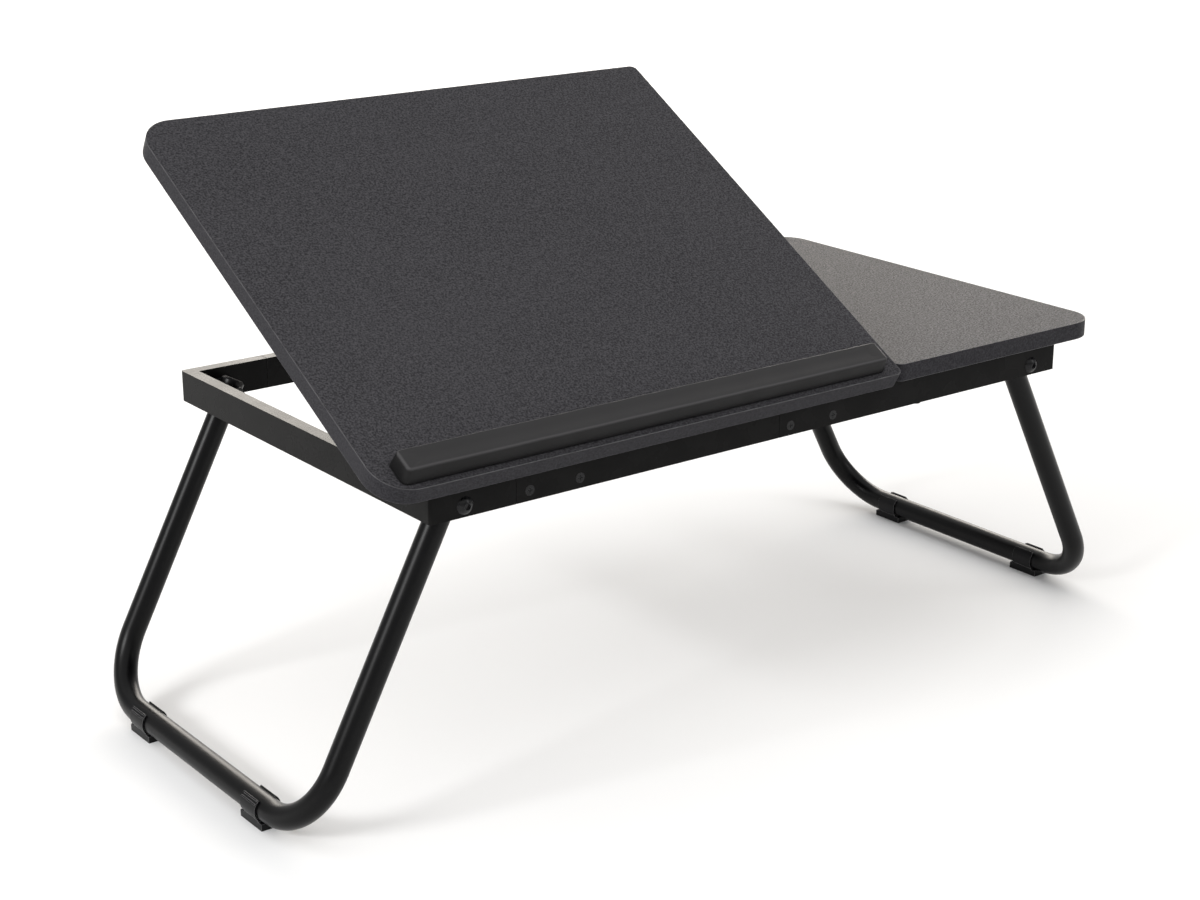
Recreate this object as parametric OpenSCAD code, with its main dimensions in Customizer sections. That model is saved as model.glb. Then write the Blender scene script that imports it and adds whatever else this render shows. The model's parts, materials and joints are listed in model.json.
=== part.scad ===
// Folding tray table: a tilting board and a small fixed board on a moulded frame,
// carried by two U-shaped tube legs that fold inward under the frame.
// Origin: on the floor, at the middle of the part's bounding box. +X along the length,
// +Y away from the user, +Z up. Most parts are drawn in frame coordinates: x from the
// frame's left end, y from its front face, z up from the top of the rails.

/* [Table top] */
// Overall length of the two boards
top_len = 600; // [590:1:610]
// Front-to-back depth of both boards
top_depth = 334; // [326:1:340]
// Thickness of both boards
board_t = 12; // [10:0.5:14]
// Length of the tilting board
tilt_len = 400.5; // [396:0.5:404]
// Gap between the two boards
board_gap = 1.5; // [1:0.5:3]
// How far the boards stand out in front of the frame
front_overhang = 7.5; // [6:0.5:9]
// Plan radius of the four outer corners
corner_r = 24; // [15:1:30]
// Plan radius of the corners where the boards meet
inner_corner_r = 5; // [2:1:8]
// Thickness of the edge band
band_t = 0.8; // [0.5:0.1:1.5]
// Tilt of the left board in the pose drawn
tilt = 30; // [0:1:35]

/* [Frame] */
// Length of the frame
frame_len = 527; // [523:1:531]
// Depth of the frame
frame_depth = 306; // [302:1:310]
// Width of a rail
rail_w = 9; // [8:0.5:10]
// Height of a rail
rail_h = 21; // [20:0.5:23]
// Distance from the frame's left end to the first seam
seam_1 = 60.5; // [55:0.5:65]
// Distance from the frame's left end to the second seam
seam_2 = 266.5; // [264:0.5:268]
// Radius of the frame's upright corners
frame_corner_r = 2; // [1:0.5:4]

/* [Legs] */
// Outside diameter of the leg tube
tube_d = 16; // [15:0.5:16.5]
// Wall thickness of the leg tube
tube_wall = 1.2; // [1:0.1:2]
// Distance from a leg's pivot to the axis of its floor tube
leg_len = 217; // [205:1:217]
// Outward splay of an open leg, from upright
splay = 27.8; // [22:0.2:30]
// Bend radius of the tube's axis
bend_r = 44; // [36:1:50]
// Distance from the frame's end to a leg pivot
pivot_inset = 24.5; // [23.5:0.5:27]
// Distance from the top of the rails down to a leg pivot
pivot_drop = 14; // [13.5:0.5:14.5]
// Distance between the axes of a leg's two side tubes
leg_width = 265; // [262:1:267]
// Distance between a leg's two feet
foot_spacing = 150; // [120:2:156]

/* [Stop bar] */
// Length of the padded stop bar
lip_len = 374; // [340:1:380]
// Depth of the stop bar at its base
lip_depth = 19.5; // [15:0.5:24]
// Height of the stop bar
lip_h = 11.5; // [8:0.5:14]
// Distance from the board's front edge to the stop bar
lip_inset = 4; // [3:0.5:8]
// How far each long side of the stop bar leans in at its top
lip_draft = 1.5; // [0:0.5:3]

/* [Prop] */
// Diameter of the prop wire
wire_d = 4; // [3:0.5:4.5]
// Distance from the hinge to the prop's pivot, which is also the prop's length
prop_len = 125; // [115:1:130]
// Distance between the axes of the prop's two arms
prop_w = 70; // [60:1:74]

/* [Hidden] */

$fn = 64;
eps = 0.01;
play = 0.05;                       // radial clearance of a shaft in its hole
satin_black = "#1c1b1b";
gloss_black = "#0c0c0d";
charcoal = "#46454a";
edge_black = "#2b2a2e";
zinc = "#a8a9ab";

tube_r = tube_d / 2;
overhang_x = (top_len - frame_len) / 2;
board_y = -front_overhang;
fixed_x = -overhang_x + tilt_len + board_gap;
fixed_len = top_len - tilt_len - board_gap;

// hinge between the front rail and the tilting board
flat_gap = 0.3;                    // space under the tilting board when it lies flat
knuckle_r = 1.9;
knuckle_play = 0.3;                // between a knuckle and what is beside it
hinge_y = -knuckle_r - knuckle_play;
hinge_z = flat_gap / 2;
hinge_len = 36;
hinge_xs = [82, 285];
leaf_t = 1;
hinge_pin_r = 0.9;
pin_overhang = 0.5;
leaf_screw_r = 1.4;
leaf_screw_head_r = 2 * leaf_screw_r;
leaf_screw_dx = 11;
rail_leaf_y = 8;
board_leaf_y = 22;
board_leaf_screw_y = 16;
rail_leaf_screw_len = 5.5;         // stops above the tongues
board_screw_len = 8;               // every screw that goes up into a board

// tongue-and-socket joints of the rails
tongue_len = 55;
tongue_w = 4.6;
tongue_z = [-18, -6.2];
seam_gap = 0.4;                    // open line at each seam, in front of and behind its tongue
joint_screw_dx = [10, 47];
joint_screw_z = -14.5;
joint_head_r = 3.2;
joint_screw_r = 1.75;
joint_screw_len = rail_w - 1;

// cross recess of a screw head
cross_len = 3.6;
cross_w = 0.7;
cross_depth = 0.6;

// cross members
slat_w = 20;
slat_t = 5.5;
slat_seat = 4.5;                   // how far a slat's end sits in a rail
crossbar_w = 10;
crossbar_x = seam_2 - 0.5 - crossbar_w;
tenon_len = 3;
tenon_z = [-16, -6];
prop_x = -overhang_x + tilt_len / 2;
slat_gap = prop_w / 2 + 3.75;      // from the prop's middle to the near side of a slat
left_slat_x = prop_x - slat_gap - slat_w;
right_slat_x = prop_x + slat_gap;
split_slat_x = fixed_x - board_gap / 2 - slat_w / 2;

// leg pivots
pivot_y = [frame_depth / 2 - leg_width / 2, frame_depth / 2 + leg_width / 2];
bolt_r = 3;
bolt_head_r = 5.75;
bolt_head_h = 3.2;
washer_r = 7;
nut_r = 5.6;
nut_t = 6;
run_gap = 0.2;                     // between the turning tube and a washer or nut
stop_rib = 2.4;                    // the rib that stops an open leg
stop_rib_w = 12;
stop_rib_h = 6;
key_r = 2.3;                       // hexagonal recess of a bolt head
key_depth = 1.8;
plug_t = 1.5;
plug_reach = 3;                    // how far a plug goes into its tube
tube_above_pivot = 7.5;
nut_collar_h = 1.5;
nut_y = pivot_y[0] + tube_r + run_gap;
bolt_end = nut_y + nut_t + 1.5;

// feet
foot_r = tube_r + 1.2;
foot_drop = tube_r + 3.5;          // from the tube's axis down to the floor
foot_half_w = 7;
foot_len = 26;
foot_pad_h = 4.5;
clip_len = 18;                     // the clip around the tube is shorter than its pad
clip_grip = 52;                    // how far up the tube's sides it reaches, as an angle
foot_rib_t = 0.6;
foot_rib_w = 1;
foot_rib_inset = 1;                // from each end of the clip to its ribs
foot_rib_angles = [31, 47];        // how far up the clip's outer side its ribs are
rail_top = pivot_drop + leg_len * cos(splay) + foot_drop;

// fixed-board screws: [x, y] on the rails
fixed_screw_r = 1.75;
fixed_screw_head_r = 3.2;
fixed_screw_head_h = 1.2;
rail_screws = [
    [394, rail_w / 2], [394, frame_depth - rail_w / 2],
    [frame_len - rail_w / 2, 92], [frame_len - rail_w / 2, 214]
];
slat_screw_x = fixed_x + 5;
slat_screw_ys = [100, 206];
slat_under = -slat_t + play;       // underside of a slat

// prop: it and the board's hinge make a triangle with two equal sides
wire_r = wire_d / 2;
prop_n = -3.4;                     // from the hinge's axis up to the prop's pivot, square to the board
clip_z = hinge_z + prop_n - flat_gap;  // the same pivot, from the board's underside
prop_foot_z = hinge_z + prop_n;
notch_tilts = [18, 24, 30, 35];
rack_top = prop_foot_z - wire_r - 0.3;
rack_y = [196, 258];
rack_base = -13;
rack_screw_ys = [rack_y[0] + 8, rack_y[1] - 8];
rack_strip_w = 6;                  // the toothed strip, beside its slat
rack_inset = 3;                    // from the slat's far side to the rack's
rack_screw_len = -rack_base - 1;
notch_play = 0.4;
wire_bend = 5;
prop_pin_len = 18;                 // how far an end of the prop turns in
clip_w = 10;
clip_t = 1;
clip_screw_dy = 9;
clip_reach = clip_screw_dy + 4;
clip_inset = 12;                   // from the prop's side to a clip
clip_xs = [prop_x - prop_w / 2 + clip_inset, prop_x + prop_w / 2 - clip_inset];
clip_y = hinge_y + prop_len;
clip_screw_len = 6;
clip_screw_head_h = 1;

// y and z of the prop's pivot when the board's tilt is t
function prop_pivot(t) = [
    hinge_y + prop_len * cos(t) - prop_n * sin(t),
    hinge_z + prop_len * sin(t) + prop_n * cos(t)
];

// how far the prop's arms slope down, from their pivot to their foot, at tilt t
function prop_angle(t) = asin((prop_pivot(t)[1] - prop_foot_z) / prop_len);

// where the prop's foot lies at tilt t, measured back from the frame's front face
function prop_foot_y(t) = prop_pivot(t)[0] + prop_len * cos(prop_angle(t));

// the part's middle, front to back: from the stop bar's upper edge to the fixed board's rear
lip_top_y = board_y + lip_inset + lip_draft;
lip_top_z = flat_gap + board_t + lip_h;
reach_front = hinge_y + (lip_top_y - hinge_y) * cos(tilt) - (lip_top_z - hinge_z) * sin(tilt);
reach_back = board_y + top_depth;
middle_y = (reach_front + reach_back) / 2;

// x of a leg's pivots: side is -1 for the left leg and 1 for the right
function pivot_x(side) = frame_len / 2 + side * (frame_len / 2 - pivot_inset);

// ---------- places ----------
module in_frame() {
    translate([-frame_len / 2, -middle_y, rail_top]) children();
}

// children are drawn where they are when the tilting board lies flat
module on_board() {
    in_frame()
        translate([0, hinge_y, hinge_z])
            rotate([tilt, 0, 0])
                translate([0, -hinge_y, -hinge_z + flat_gap])
                    children();
}

// side is -1 for the left leg and 1 for the right; children are drawn hanging from the pivot
module on_leg(side) {
    in_frame()
        translate([pivot_x(side), frame_depth / 2, -pivot_drop])
            rotate([0, -side * splay, 0])
                children();
}

// ---------- shared shapes ----------
module y_cylinder(r, y0, y1) {
    translate([0, y0, 0]) rotate([-90, 0, 0]) cylinder(r = r, h = y1 - y0);
}

module x_cylinder(r, x0, x1) {
    translate([x0, 0, 0]) rotate([0, 90, 0]) cylinder(r = r, h = x1 - x0);
}

module box(x, y, z) {
    translate([x[0], y[0], z[0]]) cube([x[1] - x[0], y[1] - y[0], z[1] - z[0]]);
}

// a plan outline with one radius on its left corners and one on its right
module board_outline(length, depth, left_r, right_r) {
    translate([left_r, 0]) square([length - left_r - right_r, depth]);
    translate([0, left_r]) square([left_r, depth - 2 * left_r]);
    translate([length - right_r, right_r]) square([right_r, depth - 2 * right_r]);
    for (y = [left_r, depth - left_r]) translate([left_r, y]) circle(r = left_r);
    for (y = [right_r, depth - right_r]) translate([length - right_r, y]) circle(r = right_r);
}

module board_core(length, left_r, right_r) {
    translate([band_t, band_t, 0])
        linear_extrude(board_t)
            board_outline(length - 2 * band_t, top_depth - 2 * band_t, left_r - band_t, right_r - band_t);
}

module board_band(length, left_r, right_r) {
    linear_extrude(board_t)
        difference() {
            board_outline(length, top_depth, left_r, right_r);
            translate([band_t, band_t])
                board_outline(length - 2 * band_t, top_depth - 2 * band_t, left_r - band_t, right_r - band_t);
        }
}

// a countersunk screw: head at z = 0, shank down
module flat_screw(r, head_r, length) {
    translate([0, 0, -length]) cylinder(r = r, h = length);
    translate([0, 0, r - head_r]) cylinder(r1 = r, r2 = head_r, h = head_r - r);
}

module flat_screw_hole(r, head_r, length) {
    translate([0, 0, -length - eps]) cylinder(r = r + play, h = length + 2 * eps);
    translate([0, 0, r - head_r]) cylinder(r1 = r + play, r2 = head_r + play, h = head_r - r + eps);
}

// a cross recess cut down into a screw head whose top is at z = 0
module cross_recess() {
    for (a = [0, 90])
        rotate(a)
            translate([-cross_len / 2, -cross_w / 2, -cross_depth])
                cube([cross_len, cross_w, cross_depth + 1]);
}

// ---------- frame rails ----------
// x positions of a seam's screws
function seam_screws(seam) = [for (dx = joint_screw_dx) seam + dx];

// a screw of a seam, on the front rail (rear = 0) or the rear rail (rear = 1)
module at_joint_screw(x, rear) {
    translate([x, rear * frame_depth, joint_screw_z]) rotate([rear == 0 ? 90 : -90, 0, 0]) children();
}

module joint_screw_holes(seam) {
    for (rear = [0, 1], x = seam_screws(seam))
        at_joint_screw(x, rear) flat_screw_hole(joint_screw_r, joint_head_r, joint_screw_len);
}

module tongue(seam, rear) {
    y = rear * (frame_depth - rail_w) + (rail_w - tongue_w) / 2;
    difference() {
        box([seam - eps, seam + tongue_len], [y, y + tongue_w], tongue_z);
        joint_screw_holes(seam);
    }
}

module socket(seam, rear) {
    y = rear * (frame_depth - rail_w) + (rail_w - tongue_w) / 2 - play;
    box([seam - eps, seam + tongue_len + 1], [y, y + tongue_w + 2 * play],
        [tongue_z[0] - play, tongue_z[1] + play]);
}

module slat_seats(x) {
    box([x - play, x + slat_w + play], [rail_w - slat_seat - play, frame_depth - rail_w + slat_seat + play],
        [-slat_t, eps]);
}

module rail_leaf_pocket(x) {
    box([x - hinge_len / 2 - play, x + hinge_len / 2 + play], [-eps, rail_leaf_y + play], [-leaf_t, eps]);
    for (dx = [-leaf_screw_dx, leaf_screw_dx])
        translate([x + dx, rail_w / 2, 0])
            flat_screw_hole(leaf_screw_r, leaf_screw_head_r, rail_leaf_screw_len);
}

module pivot_holes(x) {
    translate([x, 0, -pivot_drop]) y_cylinder(bolt_r + play, -1, rail_w + 1);
    translate([x, 0, -pivot_drop]) y_cylinder(bolt_r + play, frame_depth - rail_w - 1, frame_depth + 1);
}

// an end of the frame: the end rail, two arms that reach to x_to, and the ribs that stop the leg
module end_frame(side, x_to) {
    x_end = side < 0 ? 0 : frame_len;
    x_in = x_end - side * rail_w;
    difference() {
        translate([min(x_end, x_to), 0, -rail_h])
            linear_extrude(rail_h)
                board_outline(abs(x_to - x_end), frame_depth, side < 0 ? frame_corner_r : eps,
                              side < 0 ? eps : frame_corner_r);
        box([min(x_in, x_to - side), max(x_in, x_to - side)],
            [rail_w, frame_depth - rail_w], [-rail_h - 1, 1]);
        pivot_holes(x_end - side * pivot_inset);
    }
    for (y = pivot_y)
        box([min(x_in, x_in - side * stop_rib) - eps, max(x_in, x_in - side * stop_rib) + eps],
            [y - stop_rib_w / 2, y + stop_rib_w / 2], [-rail_h, -rail_h + stop_rib_h]);
}

module left_end_frame() {
    color(satin_black) in_frame() {
        end_frame(-1, seam_1);
        for (rear = [0, 1]) tongue(seam_1, rear);
    }
}

module middle_rail(rear) {
    y = rear * (frame_depth - rail_w);
    difference() {
        box([seam_1 + seam_gap, seam_2], [y, y + rail_w], [-rail_h, 0]);
        socket(seam_1, rear);
        joint_screw_holes(seam_1);
        slat_seats(left_slat_x);
        slat_seats(right_slat_x);
        box([crossbar_x - play, crossbar_x + crossbar_w + play],
            [rail_w - tenon_len - play, frame_depth - rail_w + tenon_len + play],
            [tenon_z[0] - play, tenon_z[1] + play]);
        rail_leaf_pocket(hinge_xs[0]);
    }
    tongue(seam_2, rear);
}

module front_middle_rail() {
    color(satin_black) in_frame() middle_rail(0);
}

module rear_middle_rail() {
    color(satin_black) in_frame() middle_rail(1);
}

module right_end_frame() {
    color(satin_black) in_frame()
        difference() {
            end_frame(1, seam_2 + seam_gap);
            for (rear = [0, 1]) socket(seam_2, rear);
            joint_screw_holes(seam_2);
            slat_seats(split_slat_x);
            rail_leaf_pocket(hinge_xs[1]);
            for (p = rail_screws)
                translate([p[0], p[1], -rail_h - 1]) cylinder(r = fixed_screw_r + play, h = rail_h + 2);
        }
}

// ---------- cross members ----------
module centre_crossbar() {
    color(satin_black) in_frame() {
        box([crossbar_x, crossbar_x + crossbar_w], [rail_w, frame_depth - rail_w], [-rail_h, 0]);
        box([crossbar_x, crossbar_x + crossbar_w],
            [rail_w - tenon_len, frame_depth - rail_w + tenon_len], tenon_z);
    }
}

module slat(x, screw_x, screw_ys) {
    difference() {
        box([x, x + slat_w], [rail_w - slat_seat, frame_depth - rail_w + slat_seat], [slat_under, 0]);
        for (y = screw_ys)
            translate([screw_x, y, -slat_t - 1]) cylinder(r = joint_screw_r + play, h = slat_t + 2);
    }
}

module left_prop_slat() {
    color(satin_black) in_frame() slat(left_slat_x, left_slat_x + slat_w / 2, rack_screw_ys);
}

module right_prop_slat() {
    color(satin_black) in_frame() slat(right_slat_x, right_slat_x + slat_w / 2, rack_screw_ys);
}

module board_split_slat() {
    color(satin_black) in_frame() slat(split_slat_x, slat_screw_x, slat_screw_ys);
}

// ---------- prop racks ----------
// side is -1 for the rack at the prop's left arm and 1 for the one at its right
module prop_rack(side) {
    slat_mid = side * (slat_gap + slat_w / 2);
    slat_side = side * slat_gap;
    inner = side * (slat_gap - rack_strip_w);
    outer = side * (slat_gap + slat_w - rack_inset);
    strip_side = slat_side - side * play;
    difference() {
        translate([prop_x, 0, 0])
            box([min(inner, outer), max(inner, outer)], rack_y, [rack_base, -slat_t]);
        // the toothed strip beside the slat is lower than the prop's foot
        translate([prop_x, 0, 0])
            box([min(inner, strip_side) - eps, max(inner, strip_side) + eps],
                [rack_y[0] - 1, rack_y[1] + 1], [rack_top, 0]);
        for (t = notch_tilts)
            translate([prop_x, prop_foot_y(t), rack_top])
                x_cylinder(wire_r + notch_play, min(inner - 1, strip_side), max(inner + 1, strip_side));
        for (y = rack_screw_ys)
            translate([prop_x + slat_mid, y, rack_base])
                rotate([180, 0, 0]) flat_screw_hole(joint_screw_r, joint_head_r, rack_screw_len);
    }
}

module left_prop_rack() {
    color(satin_black) in_frame() prop_rack(-1);
}

module right_prop_rack() {
    color(satin_black) in_frame() prop_rack(1);
}

// ---------- fixed board ----------
module fixed_board() {
    color(charcoal) in_frame()
        difference() {
            translate([fixed_x, board_y, 0]) board_core(fixed_len, inner_corner_r, corner_r);
            for (p = rail_screws)
                translate([p[0], p[1], -1]) cylinder(r = fixed_screw_r + play, h = board_screw_len + 1);
            for (y = slat_screw_ys)
                translate([slat_screw_x, y, -1]) cylinder(r = fixed_screw_r + play, h = board_screw_len + 1);
        }
}

module fixed_board_edge_band() {
    color(edge_black) in_frame()
        translate([fixed_x, board_y, 0]) board_band(fixed_len, inner_corner_r, corner_r);
}

// ---------- fasteners of the frame ----------
module frame_joint_screws() {
    color(gloss_black) in_frame()
        for (seam = [seam_1, seam_2], rear = [0, 1], x = seam_screws(seam))
            at_joint_screw(x, rear)
                difference() {
                    flat_screw(joint_screw_r, joint_head_r, joint_screw_len);
                    cross_recess();
                }
}

// a pan-head screw that comes up through the frame: its head is against the face at z = under
module pan_screw(under) {
    translate([0, 0, under]) cylinder(r = fixed_screw_r, h = board_screw_len - under);
    translate([0, 0, under - fixed_screw_head_h])
        difference() {
            cylinder(r = fixed_screw_head_r, h = fixed_screw_head_h);
            mirror([0, 0, 1]) cross_recess();
        }
}

module fixed_board_screws() {
    color(gloss_black) in_frame() {
        for (p = rail_screws) translate([p[0], p[1], 0]) pan_screw(-rail_h);
        for (y = slat_screw_ys) translate([slat_screw_x, y, 0]) pan_screw(slat_under);
    }
}

module slat_and_rack_screws() {
    color(gloss_black) in_frame()
        for (side = [-1, 1], y = rack_screw_ys)
            translate([prop_x + side * (slat_gap + slat_w / 2), y, rack_base])
                rotate([180, 0, 0])
                    difference() {
                        flat_screw(joint_screw_r, joint_head_r, rack_screw_len);
                        cross_recess();
                    }
}

// ---------- leg pivots, fixed to the frame ----------
// children are drawn on the front rail, with +Y along the bolt into the frame
module at_pivots() {
    in_frame()
        for (x = [pivot_inset, frame_len - pivot_inset], rear = [0, 1])
            translate([x, rear * frame_depth, -pivot_drop])
                mirror([0, rear, 0])
                    children();
}

module leg_pivot_bolts() {
    dome_r = (bolt_head_r * bolt_head_r + bolt_head_h * bolt_head_h) / (2 * bolt_head_h);
    color(gloss_black) at_pivots() {
        y_cylinder(bolt_r, -eps, bolt_end);
        difference() {
            intersection() {
                translate([0, dome_r - bolt_head_h, 0]) sphere(r = dome_r);
                y_cylinder(bolt_head_r, -bolt_head_h - 1, 0);
            }
            translate([0, -bolt_head_h - 1, 0])
                rotate([-90, 0, 0]) cylinder(r = key_r, h = key_depth + 1, $fn = 6);
        }
    }
}

module leg_pivot_washers() {
    color(edge_black) at_pivots()
        difference() {
            y_cylinder(washer_r, rail_w, pivot_y[0] - tube_r - run_gap);
            y_cylinder(bolt_r + play, rail_w - 1, pivot_y[0]);
        }
}

module leg_pivot_nuts() {
    color(gloss_black) at_pivots()
        difference() {
            union() {
                translate([0, nut_y, 0])
                    rotate([-90, 0, 0]) cylinder(r = nut_r, h = nut_t - nut_collar_h, $fn = 6);
                y_cylinder(nut_r * cos(30) - 0.3, nut_y, nut_y + nut_t);
            }
            y_cylinder(bolt_r + play, nut_y - 1, nut_y + nut_t + 1);
        }
}

// ---------- hinges ----------
function knuckle_xs(part) = part == "rail"
    ? [[-hinge_len / 2, -hinge_len / 6], [hinge_len / 6, hinge_len / 2]]
    : [[-hinge_len / 6 + knuckle_play / 2, hinge_len / 6 - knuckle_play / 2]];

function leaf_screw_y(part) = part == "rail" ? rail_w / 2 : board_leaf_screw_y;

// one leaf, drawn with the hinge's axis on the X axis; up is -1 for the rail's leaf, 1 for the board's
module hinge_leaf(part, up, reach) {
    near = up * hinge_z;
    leaf_z = [min(near, near + up * leaf_t), max(near, near + up * leaf_t)];
    difference() {
        union() {
            box([-hinge_len / 2, hinge_len / 2], [knuckle_r + knuckle_play, reach - hinge_y], leaf_z);
            for (k = knuckle_xs(part)) {
                x_cylinder(knuckle_r, k[0], k[1]);
                box(k, [0, knuckle_r + knuckle_play + eps], leaf_z);
            }
        }
        x_cylinder(hinge_pin_r + play, -hinge_len, hinge_len);
        for (dx = [-leaf_screw_dx, leaf_screw_dx])
            translate([dx, leaf_screw_y(part) - hinge_y, near])
                rotate([up > 0 ? 180 : 0, 0, 0])
                    flat_screw_hole(leaf_screw_r, leaf_screw_head_r, 2 * leaf_t);
    }
}

module hinge_rail_leaves() {
    color(zinc) in_frame()
        for (x = hinge_xs) translate([x, hinge_y, hinge_z]) hinge_leaf("rail", -1, rail_leaf_y);
}

module hinge_pins() {
    half = hinge_len / 2 + pin_overhang;
    color(zinc) in_frame()
        for (x = hinge_xs) translate([x, hinge_y, hinge_z]) x_cylinder(hinge_pin_r, -half, half);
}

module hinge_rail_screws() {
    color(zinc) in_frame()
        for (x = hinge_xs, dx = [-leaf_screw_dx, leaf_screw_dx])
            translate([x + dx, rail_w / 2, 0])
                flat_screw(leaf_screw_r, leaf_screw_head_r, rail_leaf_screw_len);
}

module hinge_board_leaves() {
    color(zinc) on_board()
        translate([0, hinge_y, hinge_z - flat_gap])
            for (x = hinge_xs) translate([x, 0, 0]) hinge_leaf("board", 1, board_leaf_y);
}

module hinge_board_screws() {
    color(zinc) on_board()
        for (x = hinge_xs, dx = [-leaf_screw_dx, leaf_screw_dx])
            translate([x + dx, board_leaf_screw_y, 0])
                rotate([180, 0, 0]) flat_screw(leaf_screw_r, leaf_screw_head_r, board_screw_len);
}

// ---------- tilting board ----------
module tilting_board() {
    color(charcoal) on_board()
        difference() {
            translate([-overhang_x, board_y, 0]) board_core(tilt_len, corner_r, inner_corner_r);
            for (x = hinge_xs) {
                box([x - hinge_len / 2 - play, x + hinge_len / 2 + play], [hinge_y, board_leaf_y + play],
                    [-1, leaf_t]);
                translate([x, hinge_y, hinge_z - flat_gap])
                    x_cylinder(knuckle_r + 2 * knuckle_play, -hinge_len / 2 - 1, hinge_len / 2 + 1);
                for (dx = [-leaf_screw_dx, leaf_screw_dx])
                    translate([x + dx, board_leaf_screw_y, 0])
                        rotate([180, 0, 0])
                            flat_screw_hole(leaf_screw_r, leaf_screw_head_r, board_screw_len);
            }
            for (x = clip_xs, dy = [-clip_screw_dy, clip_screw_dy])
                translate([x, clip_y + dy, -1]) cylinder(r = leaf_screw_r + play, h = clip_screw_len + 1);
        }
}

module tilting_board_edge_band() {
    color(edge_black) on_board()
        translate([-overhang_x, board_y, 0]) board_band(tilt_len, corner_r, inner_corner_r);
}

module stop_bar() {
    color(satin_black) on_board()
        translate([-overhang_x + (tilt_len - lip_len) / 2, board_y + lip_inset, board_t])
            rotate([90, 0, 90])
                linear_extrude(lip_len)
                    polygon([[0, 0], [lip_depth, 0], [lip_depth - lip_draft, lip_h], [lip_draft, lip_h]]);
}

// saddle clips that hold the prop's ends under the board
module prop_clips() {
    saddle_r = wire_r + play + clip_t;
    color(zinc) on_board()
        for (x = clip_xs)
            translate([x - clip_w / 2, clip_y, 0])
                difference() {
                    union() {
                        translate([0, 0, clip_z]) x_cylinder(saddle_r, 0, clip_w);
                        box([0, clip_w], [-saddle_r, saddle_r], [clip_z, 0]);
                        box([0, clip_w], [-clip_reach, clip_reach], [-clip_t, 0]);
                    }
                    translate([0, 0, clip_z]) x_cylinder(wire_r + play, -1, clip_w + 1);
                    for (dy = [-clip_screw_dy, clip_screw_dy])
                        translate([clip_w / 2, dy, -clip_t - 1])
                            cylinder(r = leaf_screw_r + play, h = clip_t + 2);
                }
}

module prop_clip_screws() {
    color(zinc) on_board()
        for (x = clip_xs, dy = [-clip_screw_dy, clip_screw_dy])
            translate([x, clip_y + dy, -clip_t]) {
                cylinder(r = leaf_screw_r, h = clip_t + clip_screw_len);
                translate([0, 0, -clip_screw_head_h]) cylinder(r = leaf_screw_head_r, h = clip_screw_head_h);
            }
}

// ---------- prop ----------
// a bent length of wire, drawn from its pivot along +Y
module prop_wire() {
    half = prop_w / 2;
    bend_x = half - wire_bend;
    pin_in = half - prop_pin_len;
    arm_end = prop_len - wire_bend;
    for (side = [-1, 1]) {
        translate([side * half, 0, 0]) y_cylinder(wire_r, wire_bend, arm_end);
        x_cylinder(wire_r, min(side * pin_in, side * bend_x), max(side * pin_in, side * bend_x));
        translate([side * bend_x, wire_bend, 0]) wire_corner(side < 0 ? 180 : 270);
        translate([side * bend_x, arm_end, 0]) wire_corner(side < 0 ? 90 : 0);
    }
    translate([0, prop_len, 0]) x_cylinder(wire_r, -bend_x, bend_x);
}

module wire_corner(start) {
    rotate(start)
        rotate_extrude(angle = 90)
            translate([wire_bend, 0])
                circle(r = wire_r);
}

module prop_bail() {
    pivot = prop_pivot(tilt);
    color(zinc) in_frame()
        translate([prop_x, pivot[0], pivot[1]])
            rotate([-prop_angle(tilt), 0, 0])
                prop_wire();
}

// ---------- legs ----------
// the U of a leg as a round bar of radius r; above is how far it passes the pivot
module leg_bar(r, above) {
    half = leg_width / 2;
    run = leg_len - bend_r;
    for (side = [-1, 1]) {
        translate([0, side * half, -run]) cylinder(r = r, h = run + above);
        translate([0, side * (half - bend_r), -run])
            rotate([0, 90, 0])
                rotate(side < 0 ? 270 : 0)
                    rotate_extrude(angle = 90) translate([bend_r, 0]) circle(r = r);
    }
    translate([0, 0, -leg_len]) y_cylinder(r, -half + bend_r, half - bend_r);
}

module leg_tube(side) {
    color(gloss_black) on_leg(side)
        difference() {
            leg_bar(tube_r, tube_above_pivot);
            leg_bar(tube_r - tube_wall, tube_above_pivot + 1);
            y_cylinder(bolt_r + play, -leg_width / 2 - tube_d, leg_width / 2 + tube_d);
        }
}

module leg_end_plugs(side) {
    spigot_r = tube_r - tube_wall - play;
    color(edge_black) on_leg(side)
        for (y = [-leg_width / 2, leg_width / 2])
            translate([0, y, tube_above_pivot]) {
                cylinder(r1 = tube_r, r2 = tube_r - plug_t, h = plug_t);
                difference() {
                    translate([0, 0, -plug_reach]) cylinder(r = spigot_r, h = plug_reach + eps);
                    translate([0, 0, -plug_reach - 1]) cylinder(r = spigot_r - plug_t, h = plug_reach);
                }
            }
}

module left_leg_tube() {
    leg_tube(-1);
}

module right_leg_tube() {
    leg_tube(1);
}

module left_leg_end_plugs() {
    leg_end_plugs(-1);
}

module right_leg_end_plugs() {
    leg_end_plugs(1);
}

// the section of a foot's clip: a C around the tube, on a stem down to the floor
module foot_clip_section() {
    wedge = 2 * foot_r;
    difference() {
        union() {
            circle(r = foot_r);
            translate([-foot_half_w, -foot_drop]) square([2 * foot_half_w, foot_drop]);
        }
        circle(r = tube_r + play);
        polygon([[0, 0], [-wedge * cos(clip_grip), wedge * sin(clip_grip)], [-wedge, 2 * wedge],
                 [wedge, 2 * wedge], [wedge * cos(clip_grip), wedge * sin(clip_grip)]]);
    }
}

// the section of the flat pad under it
module foot_pad_section() {
    difference() {
        translate([-foot_half_w, -foot_drop]) square([2 * foot_half_w, foot_pad_h]);
        circle(r = tube_r + play);
    }
}

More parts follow.
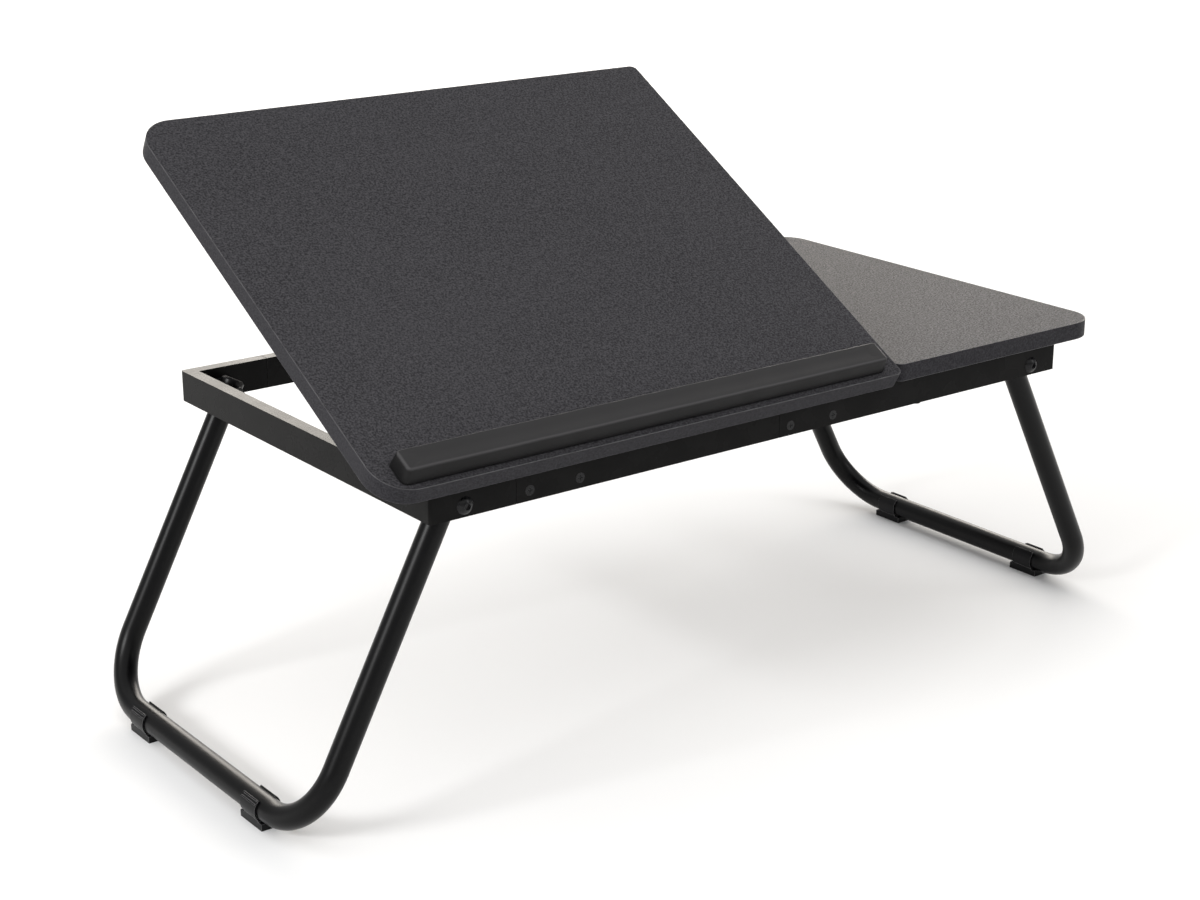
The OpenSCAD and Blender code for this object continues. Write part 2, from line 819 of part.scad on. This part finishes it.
// a section in X and Z drawn out along Y, its middle at the origin
module along_tube(length) {
    translate([0, length / 2, 0]) rotate([90, 0, 0]) linear_extrude(length) children();
}

// side is the leg's, end is -1 for the front foot and 1 for the rear one
module leg_foot(side, end) {
    color(satin_black) on_leg(side)
        translate([0, end * foot_spacing / 2, -leg_len])
            rotate([0, side * splay, 0]) {
                along_tube(clip_len) foot_clip_section();
                along_tube(foot_len) foot_pad_section();
                for (a = foot_rib_angles)
                    rotate([0, -side * a, 0])
                        box([side * foot_r - foot_rib_t, side * foot_r + foot_rib_t],
                            [foot_rib_inset - clip_len / 2, clip_len / 2 - foot_rib_inset],
                            [-foot_rib_w / 2, foot_rib_w / 2]);
            }
}

module left_front_foot() {
    leg_foot(-1, -1);
}

module left_rear_foot() {
    leg_foot(-1, 1);
}

module right_front_foot() {
    leg_foot(1, -1);
}

module right_rear_foot() {
    leg_foot(1, 1);
}

left_end_frame();
front_middle_rail();
rear_middle_rail();
right_end_frame();
centre_crossbar();
left_prop_slat();
right_prop_slat();
board_split_slat();
left_prop_rack();
right_prop_rack();
fixed_board();
fixed_board_edge_band();
frame_joint_screws();
fixed_board_screws();
slat_and_rack_screws();
leg_pivot_bolts();
leg_pivot_washers();
leg_pivot_nuts();
hinge_rail_leaves();
hinge_pins();
hinge_rail_screws();
tilting_board();
tilting_board_edge_band();
stop_bar();
hinge_board_leaves();
hinge_board_screws();
prop_clips();
prop_clip_screws();
left_leg_tube();
left_leg_end_plugs();
left_front_foot();
left_rear_foot();
right_leg_tube();
right_leg_end_plugs();
right_front_foot();
right_rear_foot();
prop_bail();
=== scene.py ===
"""Looks of the folding tray table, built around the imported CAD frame. Lengths are in metres."""
import json
import math

import bmesh
import bpy
from mathutils import Matrix, Vector


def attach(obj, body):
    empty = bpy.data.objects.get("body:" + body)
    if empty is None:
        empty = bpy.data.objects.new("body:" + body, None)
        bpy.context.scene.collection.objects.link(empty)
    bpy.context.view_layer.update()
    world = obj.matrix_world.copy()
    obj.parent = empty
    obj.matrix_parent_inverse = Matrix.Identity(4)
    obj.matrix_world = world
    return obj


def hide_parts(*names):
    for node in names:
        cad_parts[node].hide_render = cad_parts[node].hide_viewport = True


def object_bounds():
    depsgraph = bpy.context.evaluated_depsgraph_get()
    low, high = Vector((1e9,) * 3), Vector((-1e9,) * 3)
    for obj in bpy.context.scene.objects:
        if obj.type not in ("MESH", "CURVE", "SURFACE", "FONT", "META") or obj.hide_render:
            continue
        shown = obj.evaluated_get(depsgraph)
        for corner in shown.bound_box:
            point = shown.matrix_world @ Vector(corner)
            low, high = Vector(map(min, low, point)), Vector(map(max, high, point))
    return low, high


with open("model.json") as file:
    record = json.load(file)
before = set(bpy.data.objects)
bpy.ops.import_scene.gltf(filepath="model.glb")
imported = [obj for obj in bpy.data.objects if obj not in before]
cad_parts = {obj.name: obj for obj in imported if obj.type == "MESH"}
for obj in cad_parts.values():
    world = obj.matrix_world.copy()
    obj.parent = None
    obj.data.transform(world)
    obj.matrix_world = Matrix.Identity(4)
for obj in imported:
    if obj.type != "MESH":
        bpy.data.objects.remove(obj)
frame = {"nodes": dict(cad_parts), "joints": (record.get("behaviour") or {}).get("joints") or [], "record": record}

MM = 0.001
CAD_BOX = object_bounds()
MIDDLE = (CAD_BOX[0] + CAD_BOX[1]) / 2

SLOT_OF = {s["node"]: s["material_slot"] for s in frame["record"]["subparts"]}
JOINTS = {j["name"]: j for j in frame["joints"]}


def add_to_scene(data, name):
    item = bpy.data.objects.new(name, data)
    bpy.context.scene.collection.objects.link(item)
    return item


# ---------- shader helpers ----------
NOISE_LOW, NOISE_HIGH = 0.3, 0.7        # most of a noise texture's values lie between these


def new_material(name, color, roughness, specular=0.5, metallic=0.0):
    """A material with its Principled shader; uniform values go on the shader's own sockets."""
    material = bpy.data.materials.new(name)
    material.use_nodes = True
    shader = material.node_tree.nodes["Principled BSDF"]
    shader.inputs["Base Color"].default_value = (*color, 1.0)
    shader.inputs["Roughness"].default_value = roughness
    shader.inputs["Specular IOR Level"].default_value = specular
    shader.inputs["Metallic"].default_value = metallic
    return material, material.node_tree, shader


def noise(tree, scale, detail=2.0, stretch=(1.0, 1.0, 1.0)):
    """Noise over the object's own coordinates: scale is features per metre, stretch squeezes an axis."""
    coordinates = tree.nodes.new("ShaderNodeTexCoord")
    mapping = tree.nodes.new("ShaderNodeMapping")
    mapping.inputs["Scale"].default_value = stretch
    texture = tree.nodes.new("ShaderNodeTexNoise")
    texture.inputs["Scale"].default_value = scale
    texture.inputs["Detail"].default_value = detail
    tree.links.new(coordinates.outputs["Object"], mapping.inputs["Vector"])
    tree.links.new(mapping.outputs["Vector"], texture.inputs["Vector"])
    return texture.outputs["Fac"]


def cells(tree, scale):
    """Distance to the nearest of a field of scattered points, for pores."""
    coordinates = tree.nodes.new("ShaderNodeTexCoord")
    texture = tree.nodes.new("ShaderNodeTexVoronoi")
    texture.inputs["Scale"].default_value = scale
    tree.links.new(coordinates.outputs["Object"], texture.inputs["Vector"])
    return texture.outputs["Distance"]


def ramp(tree, source, low=NOISE_LOW, high=NOISE_HIGH, to_low=0.0, to_high=1.0):
    """source, from low to high, becomes a value from to_low to to_high."""
    node = tree.nodes.new("ShaderNodeMapRange")
    node.inputs["From Min"].default_value = low
    node.inputs["From Max"].default_value = high
    node.inputs["To Min"].default_value = to_low
    node.inputs["To Max"].default_value = to_high
    tree.links.new(source, node.inputs["Value"])
    return node.outputs["Result"]


def blend_colors(tree, factor, a, b):
    """From a to b by factor; a and b are colours, or sockets."""
    node = tree.nodes.new("ShaderNodeMix")
    node.data_type = "RGBA"
    tree.links.new(factor, node.inputs[0])
    for socket, value in ((node.inputs[6], a), (node.inputs[7], b)):
        if isinstance(value, tuple):
            socket.default_value = (*value, 1.0)
        else:
            tree.links.new(value, socket)
    return node.outputs[2]


def color_between(tree, shader, factor, a, b):
    """The shader's colour goes from a to b by factor."""
    tree.links.new(blend_colors(tree, factor, a, b), shader.inputs["Base Color"])


def roughness_between(tree, shader, source, smooth, rough):
    """The shader's roughness follows a noise, from smooth to rough."""
    tree.links.new(ramp(tree, source, to_low=smooth, to_high=rough), shader.inputs["Roughness"])


def relief(tree, shader, *layers):
    """Bump layers, coarsest first: each is (height socket, depth in metres, strength)."""
    normal = None
    for height, depth, strength in layers:
        node = tree.nodes.new("ShaderNodeBump")
        node.inputs["Distance"].default_value = depth
        node.inputs["Strength"].default_value = strength
        tree.links.new(height, node.inputs["Height"])
        if normal is not None:
            tree.links.new(normal, node.inputs["Normal"])
        normal = node.outputs["Normal"]
    tree.links.new(normal, shader.inputs["Normal"])


# ---------- finishes ----------
def board_laminate():
    """Charcoal melamine on fibreboard: a fine grain whose pale specks are also the glossier ones."""
    material, tree, shader = new_material("board_laminate", (0.036, 0.035, 0.039), 0.5)
    shader.inputs["Specular Tint"].default_value = (1.0, 0.95, 0.88, 1.0)
    speck = ramp(tree, noise(tree, 820, 4.0), 0.36, 0.68)
    tone = ramp(tree, noise(tree, 9))
    dark = blend_colors(tree, tone, (0.027, 0.0262, 0.0288), (0.032, 0.0312, 0.0342))
    color_between(tree, shader, speck, dark, (0.068, 0.0662, 0.072))
    gloss = ramp(tree, speck, 0.0, 1.0, 0.008, 0.062)
    tree.links.new(gloss, shader.inputs["Specular IOR Level"])
    roughness_between(tree, shader, noise(tree, 1100), 0.42, 0.62)
    relief(tree, shader,
           (noise(tree, 60), 0.12 * MM, 0.10),
           (noise(tree, 720, 3.0), 0.13 * MM, 0.65))
    return material


def edge_band():
    """Charcoal plastic edge strip with a fine grain."""
    material, tree, shader = new_material("edge_band", (0.026, 0.025, 0.028), 0.5, specular=0.05)
    speck = ramp(tree, noise(tree, 900, 3.0), 0.35, 0.7)
    color_between(tree, shader, speck, (0.019, 0.0184, 0.0209), (0.040, 0.0388, 0.0435))
    roughness_between(tree, shader, noise(tree, 400), 0.42, 0.58)
    relief(tree, shader, (noise(tree, 900, 3.0), 0.06 * MM, 0.4))
    return material


def moulded_black(name, color, smooth, rough, specular, grain_scale, grain_depth):
    """Satin black moulded plastic: mould grain, and slow changes of gloss and tone."""
    material, tree, shader = new_material(name, color, (smooth + rough) / 2, specular)
    patch = noise(tree, 45, 3.0)
    greyer = tuple(c * 1.4 for c in color)
    color_between(tree, shader, ramp(tree, patch, 0.35, 0.65), color, greyer)
    roughness_between(tree, shader, patch, smooth, rough)
    relief(tree, shader,
           (noise(tree, 25), 0.15 * MM, 0.05),
           (noise(tree, grain_scale), grain_depth, 0.30))
    return material


def tube_paint():
    """Black stoving enamel: deep gloss with a little orange peel and dust."""
    material, tree, shader = new_material("tube_paint", (0.0035, 0.0035, 0.0038), 0.3, specular=0.16)
    dust = ramp(tree, noise(tree, 2200, 1.0), 0.62, 0.72)
    color_between(tree, shader, dust, (0.0014, 0.0014, 0.0017), (0.009, 0.0085, 0.008))
    roughness_between(tree, shader, noise(tree, 30, 3.0), 0.28, 0.34)
    relief(tree, shader, (noise(tree, 260), 0.05 * MM, 0.18))
    return material


def black_screw():
    """Black-lacquered steel fastener."""
    material, tree, shader = new_material("black_screw", (0.006, 0.006, 0.0065), 0.24, specular=0.22)
    wear = ramp(tree, noise(tree, 300, 3.0), 0.4, 0.7)
    color_between(tree, shader, wear, (0.0045, 0.0045, 0.005), (0.011, 0.011, 0.012))
    roughness_between(tree, shader, noise(tree, 500), 0.18, 0.30)
    relief(tree, shader, (noise(tree, 900), 0.03 * MM, 0.3))
    return material


def zinc_steel():
    """Zinc-plated steel, drawn along X, with dull patches."""
    material, tree, shader = new_material("zinc_steel", (0.56, 0.56, 0.57), 0.36, metallic=1.0)
    lines = noise(tree, 1400, 3.0, stretch=(0.04, 1.0, 1.0))
    patch = ramp(tree, noise(tree, 90, 4.0), 0.35, 0.7)
    color_between(tree, shader, patch, (0.50, 0.50, 0.52), (0.36, 0.36, 0.37))
    roughness_between(tree, shader, lines, 0.38, 0.56)
    relief(tree, shader, (lines, 0.02 * MM, 0.4))
    return material


def stop_bar_foam():
    """Closed-cell foam with a smooth black skin: faint pores, slow waves, and painted light from a vertex
    attribute: a painted sheen on the top and a painted highlight along the shoulder.
    """
    material, tree, shader = new_material("stop_bar_foam", (0.020, 0.0195, 0.020), 0.45, specular=0.12)
    tone = ramp(tree, noise(tree, 35, 3.0))
    skin = blend_colors(tree, tone, (0.0075, 0.0073, 0.0075), (0.0115, 0.0112, 0.0115))
    painted_sheen = tree.nodes.new("ShaderNodeAttribute")
    painted_sheen.attribute_name = "painted_sheen"
    # the pale colour is painted light: the attribute mixes it in as a painted sheen on top and a painted highlight
    # along the shoulder
    color_between(tree, shader, painted_sheen.outputs["Fac"], skin, (0.074, 0.072, 0.074))
    roughness_between(tree, shader, noise(tree, 70, 3.0), 0.34, 0.46)
    relief(tree, shader,
           (noise(tree, 22), 0.5 * MM, 0.10),
           (cells(tree, 1600), 0.05 * MM, 0.2))
    return material


def painted_highlight_edge(name, dull, bright):
    """Pale colour for the rounded corners of a piece: a painted highlight along its edges."""
    material, tree, shader = new_material(name, (0.10, 0.098, 0.103), 0.3, specular=0.3)
    color_between(tree, shader, ramp(tree, noise(tree, 120, 3.0)), dull, bright)
    roughness_between(tree, shader, noise(tree, 300), 0.25, 0.4)
    relief(tree, shader, (noise(tree, 900), 0.02 * MM, 0.3))
    return material


FINISHES = {
    "board_laminate": board_laminate(),
    "edge_band": edge_band(),
    "frame_plastic": moulded_black("frame_plastic", (0.0070, 0.0068, 0.0067), 0.24, 0.30, 0.040,
                                   grain_scale=1300, grain_depth=0.03 * MM),
    "tube_paint": tube_paint(),
    "black_screw": black_screw(),
    "zinc_steel": zinc_steel(),
    "nylon": moulded_black("nylon", (0.0060, 0.0060, 0.0066), 0.40, 0.55, 0.06,
                           grain_scale=900, grain_depth=0.05 * MM),
    "foot_plastic": moulded_black("foot_plastic", (0.0050, 0.0050, 0.0054), 0.26, 0.38, 0.14,
                                  grain_scale=1000, grain_depth=0.05 * MM),
    "stop_bar_foam": stop_bar_foam(),
}
# the rounded edges of these slots are painted paler: painted highlights along the edges
EDGE_HIGHLIGHTS = {
    "edge_band": painted_highlight_edge("edge_band_painted_highlight", (0.045, 0.044, 0.047), (0.10, 0.098, 0.103)),
    "foot_plastic": painted_highlight_edge("foot_painted_highlight", (0.12, 0.118, 0.12), (0.24, 0.236, 0.24)),
    "frame_plastic": painted_highlight_edge("frame_painted_highlight", (0.020, 0.0196, 0.0192), (0.050, 0.049, 0.048)),
    "black_screw": painted_highlight_edge("screw_painted_highlight", (0.020, 0.020, 0.021), (0.050, 0.050, 0.052)),
}


# ---------- the CAD's own pieces ----------
# width of the bevel on a slot's sharp edges; 0 leaves the CAD's edges as they are
EDGE_WIDTHS = {
    "frame_plastic": 0.45 * MM,
    "edge_band": 0.3 * MM,
    "board_laminate": 0.0,
    "tube_paint": 0.0,
    "black_screw": 0.12 * MM,
    "zinc_steel": 0.12 * MM,
    "nylon": 0.15 * MM,
    "foot_plastic": 0.14 * MM,
}
# broad flat faces with holes in them stay evenly lit only when they aren't smoothed
FLAT_SHADED = ("frame_plastic",)
BEVEL_SEGMENTS = 3
WELD_DISTANCE = 0.002 * MM
FLAT_WITHIN = math.radians(0.5)         # neighbouring facets that turn less than this become one
BEVEL_ABOVE = math.radians(28)          # edges that turn more than this are rounded
SHARP_ABOVE = math.radians(40)          # edges that turn more than this are shaded sharp


def paint(piece, slot):
    """Gives a piece its slot's finish and no other."""
    piece.data.materials.clear()
    piece.data.materials.append(FINISHES[slot])


def round_edges(piece, slot, width):
    """Joins the facets of each flat face, then rounds the sharp edges, in a paler finish of their own where the
    slot has one: a painted highlight.
    """
    flat = piece.modifiers.new("flat", "DECIMATE")
    flat.decimate_type = "DISSOLVE"
    flat.angle_limit = FLAT_WITHIN
    bevel = piece.modifiers.new("bevel", "BEVEL")
    bevel.width = width
    bevel.segments = BEVEL_SEGMENTS
    bevel.limit_method = "ANGLE"
    bevel.angle_limit = BEVEL_ABOVE
    if slot in EDGE_HIGHLIGHTS:
        piece.data.materials.append(EDGE_HIGHLIGHTS[slot])
        bevel.material = 1


def finish_node(node, slot, width):
    """Paints a CAD node and shades it with modifiers; its own mesh stays as it is."""
    piece = frame["nodes"][node]
    paint(piece, slot)
    smooth = slot not in FLAT_SHADED
    for polygon in piece.data.polygons:
        polygon.use_smooth = smooth
    piece.modifiers.new("weld", "WELD").merge_threshold = WELD_DISTANCE
    if width:
        round_edges(piece, slot, width)
    if smooth:
        piece.modifiers.new("split", "EDGE_SPLIT").split_angle = SHARP_ABOVE
    if smooth and width:
        piece.modifiers.new("normals", "WEIGHTED_NORMAL").keep_sharp = True


for node_name, slot_name in SLOT_OF.items():
    if slot_name in EDGE_WIDTHS:
        finish_node(node_name, slot_name, EDGE_WIDTHS[slot_name])


# ---------- stop bar ----------
TILT = -math.radians(JOINTS["board_tilt"]["range_deg"][0])
HINGE = Vector(JOINTS["board_tilt"]["pos_m"])
# from the tilting board's place when it lies flat to its place at rest
BOARD_AT_REST = Matrix.Translation(HINGE) @ Matrix.Rotation(TILT, 4, "X") @ Matrix.Translation(-HINGE)

BAR_CORNER = 4.5 * MM                   # radius of the bar's corners, seen from above
LONG_STEPS, SHORT_STEPS, CORNER_STEPS = 150, 6, 8
BAR_INSET = 0.15 * MM                   # keeps the bar's foot inside the CAD's stop bar
BAR_FOOT = ((1.0 * MM, 0.0), (0.1 * MM, 0.6 * MM), (BAR_INSET, 1.4 * MM))   # (inset, height) rows
BAR_DRAFT = 1.5 * MM                    # how far the sides lean in over the bar's height
FRONT_SHOULDER = 2.1 * MM               # in front and at the ends
BACK_SHOULDER = 0.8 * MM                # crisper, where a book rests against it
SHOULDER_ROWS = 9
WALL_ROW = 0.6                          # height of the row on the wall, as a share of the wall's
WAVE_DEPTH = 0.18 * MM                  # how far in the foam's sides wander
HOLLOW_DEPTH = 0.45 * MM                # how far the top sinks between the shoulders
HOLLOW_WIDTH = 0.45                     # the hollow's bottom, as a share of the bar's depth
HOLLOW_END = 12 * MM                    # the hollow's distance from the bar's ends
TOP_SHEEN, SHOULDER_HIGHLIGHT = 0.28, 0.85        # how pale the foam is painted: a painted sheen on top, a painted highlight along the shoulder
HIGHLIGHT_ANGLE, HIGHLIGHT_REACH = 58, 42         # degrees: where the shoulder's painted highlight is palest, and how far that fades


def flat_box(node):
    """Lowest and highest corners of a tilting board's node when the board lies flat."""
    back = BOARD_AT_REST.inverted()
    points = [back @ v.co for v in frame["nodes"][node].data.vertices]
    return [Vector([pick(p[i] for p in points) for i in range(3)]) for pick in (min, max)]


def rounded_rectangle(low, high, radius):
    """Points and outward normals around a rectangle with round corners, from its front left."""
    corners = ((low.x + radius, low.y + radius, 180), (high.x - radius, low.y + radius, 270),
               (high.x - radius, high.y - radius, 0), (low.x + radius, high.y - radius, 90))
    side_steps = (LONG_STEPS, SHORT_STEPS)
    ring = []
    for k, (x, y, start) in enumerate(corners):
        for i in range(CORNER_STEPS + 1):
            a = math.radians(start + 90 * i / CORNER_STEPS)
            normal = Vector((math.cos(a), math.sin(a), 0))
            ring.append((Vector((x, y, 0)) + normal * radius, normal))
        next_x, next_y, next_start = corners[(k + 1) % 4]
        turn = math.radians(next_start)
        normal = Vector((math.cos(turn), math.sin(turn), 0))
        end = Vector((next_x, next_y, 0)) + normal * radius
        begin = ring[-1][0].copy()
        steps = side_steps[k % 2]
        ring += [(begin.lerp(end, i / steps), normal) for i in range(1, steps)]
    return ring


def shoulder_angles():
    """Angles round the shoulder, in degrees, from the wall's top to the bar's top."""
    return [90 * i / (SHOULDER_ROWS - 1) for i in range(SHOULDER_ROWS)]


def bar_section(height, shoulder):
    """The bar's side from foot to top: (distance in from the outline, height) at each row."""
    def lean(z):
        return BAR_INSET + BAR_DRAFT * z / height

    wall = (height - shoulder) * WALL_ROW
    section = [*BAR_FOOT, (lean(wall), wall)]
    for angle in shoulder_angles():
        a = math.radians(angle)
        z = height - shoulder * (1 - math.sin(a))
        section.append((lean(z) + shoulder * (1 - math.cos(a)), z))
    return section


def wander(x):
    """How far in the sides wander at a place along the bar: two long waves, in radians per metre."""
    return abs(WAVE_DEPTH * math.sin(95 * x + 1.3) * math.sin(41 * x))


def bar_painted_light():
    """How much painted light each row of bar_section gets: none below the shoulder, a painted sheen on top, the
    most as a painted highlight along the shoulder.
    """
    lit_rows = [max(TOP_SHEEN * angle / 90, SHOULDER_HIGHLIGHT * (1 - abs(angle - HIGHLIGHT_ANGLE) / HIGHLIGHT_REACH))
              for angle in shoulder_angles()]
    return [0.0] * (len(BAR_FOOT) + 1) + lit_rows


def bar_rows(low, high):
    """Rings of points around the bar, from its foot to its top."""
    height = high.z - low.z
    columns = []
    for point, normal in rounded_rectangle(low, high, BAR_CORNER):
        behind = max(0.0, normal.y)
        shoulder = FRONT_SHOULDER + (BACK_SHOULDER - FRONT_SHOULDER) * behind
        columns.append([point - normal * (inset + wander(point.x) * z / height) + Vector((0, 0, low.z + z))
                        for inset, z in bar_section(height, shoulder)])
    return list(zip(*columns))


def hollow_ring(row, low, high):
    """The top row drawn in and down, to the bottom of the hollow."""
    middle_y = (low.y + high.y) / 2
    return [Vector((min(max(p.x, low.x + HOLLOW_END), high.x - HOLLOW_END),
                    middle_y + (p.y - middle_y) * HOLLOW_WIDTH,
                    p.z - HOLLOW_DEPTH)) for p in row]


def foam_bar():
    """The padded bar: drafted sides, soft shoulders in front and at the ends, a crisper one behind."""
    low, high = flat_box("stop_bar")
    rows = bar_rows(low, high)
    rows.append(hollow_ring(rows[-1], low, high))
    mesh = bmesh.new()
    # painted light for each vertex: a painted sheen on the top, a painted highlight along the shoulder
    painted_sheen = mesh.verts.layers.float.new("painted_sheen")
    grid = []
    for row, amount in zip(rows, [*bar_painted_light(), TOP_SHEEN]):
        ring = [mesh.verts.new(BOARD_AT_REST @ point) for point in row]
        for v in ring:
            v[painted_sheen] = amount
        grid.append(ring)
    count = len(grid[0])
    for a, b in zip(grid, grid[1:]):
        for i in range(count):
            j = (i + 1) % count
            mesh.faces.new((a[i], a[j], b[j], b[i]))
    mesh.faces.new(list(reversed(grid[0])))
    mesh.faces.new(grid[-1])
    bmesh.ops.remove_doubles(mesh, verts=mesh.verts, dist=0.01 * MM)
    bmesh.ops.triangulate(mesh, faces=[f for f in mesh.faces if len(f.verts) > 4])
    bmesh.ops.recalc_face_normals(mesh, faces=mesh.faces)
    data = bpy.data.meshes.new("foam_stop_bar")
    mesh.to_mesh(data)
    mesh.free()
    for polygon in data.polygons:
        polygon.use_smooth = True
    piece = add_to_scene(data, "foam_stop_bar")
    paint(piece, "stop_bar_foam")
    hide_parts("stop_bar")
    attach(piece, "tilting_board")


foam_bar()


# ---------- floor, light and camera ----------
FLOOR_HALF = 40.0
FLOOR_WHITE = (0.90, 0.90, 0.90)
WARM_WHITE = (1.0, 0.94, 0.86)
# the camera as seen from the object, fitted to the photo: degrees to the right of the front, and up
CAMERA_AZIMUTH, CAMERA_ELEVATION = -37.27, 18.5
CAMERA_DISTANCE = 1.528
CAMERA_AIM = MIDDLE + Vector((-0.023, -0.001, -0.044))
SENSOR_WIDTH, LENS = 36, 66.0           # millimetres


def studio_floor():
    """A pale matt floor that runs out of sight."""
    mesh = bpy.data.meshes.new("floor")
    corners = [(x * FLOOR_HALF, y * FLOOR_HALF, 0) for x, y in ((-1, -1), (1, -1), (1, 1), (-1, 1))]
    mesh.from_pydata(corners, [], [(0, 1, 2, 3)])
    mesh.materials.append(new_material("floor", FLOOR_WHITE, 1.0, specular=0.0)[0])
    add_to_scene(mesh, "floor")


def add_light(data, direction, distance=1.0):
    """Puts a light in a direction from the object's middle, facing it."""
    light = add_to_scene(data, data.name)
    out = Vector(direction).normalized()
    light.location = MIDDLE + out * distance
    light.rotation_euler = out.to_track_quat("Z", "Y").to_euler()


def soft_sun(name, direction, strength, angle):
    data = bpy.data.lights.new(name, "SUN")
    data.energy = strength
    data.angle = math.radians(angle)
    add_light(data, direction)


def softbox(name, direction, distance, size, power, color=(1.0, 1.0, 1.0)):
    data = bpy.data.lights.new(name, "AREA")
    data.color = color
    data.shape = "RECTANGLE"
    data.size, data.size_y = size
    data.energy = power
    add_light(data, direction, distance)


def studio_world(brightness):
    world = bpy.data.worlds.new("world")
    world.use_nodes = True
    background = world.node_tree.nodes["Background"]
    background.inputs["Color"].default_value = (1.0, 1.0, 1.0, 1.0)
    background.inputs["Strength"].default_value = brightness
    bpy.context.scene.world = world


def studio_camera():
    a, e = math.radians(CAMERA_AZIMUTH), math.radians(CAMERA_ELEVATION)
    back = Vector((math.sin(a) * math.cos(e), -math.cos(a) * math.cos(e), math.sin(e)))
    data = bpy.data.cameras.new("camera")
    data.lens = LENS
    data.sensor_width = SENSOR_WIDTH
    camera = add_to_scene(data, "camera")
    camera.location = CAMERA_AIM + back * CAMERA_DISTANCE
    camera.rotation_euler = back.to_track_quat("Z", "Y").to_euler()
    bpy.context.scene.camera = camera


studio_floor()
soft_sun("overhead", (-0.15, -0.1, 0.98), 1.05, 110)
# the left legs mirror this one to the camera, as the highlight down their length
softbox("side", (-0.89, -0.05, 0.45), 5.0, (1.8, 1.0), 130)
# a little fill for the faces towards the camera
softbox("front_right", (0.574, -0.663, 0.48), 5.0, (1.6, 1.6), 20)
# level faces mirror this one: the beige sheen of the fixed board and the rails' tops
softbox("back", (0.574, 0.755, 0.317), 6.0, (7.0, 2.0), 330, WARM_WHITE)
studio_world(0.52)
bpy.context.scene.view_settings.view_transform = "Standard"
studio_camera()
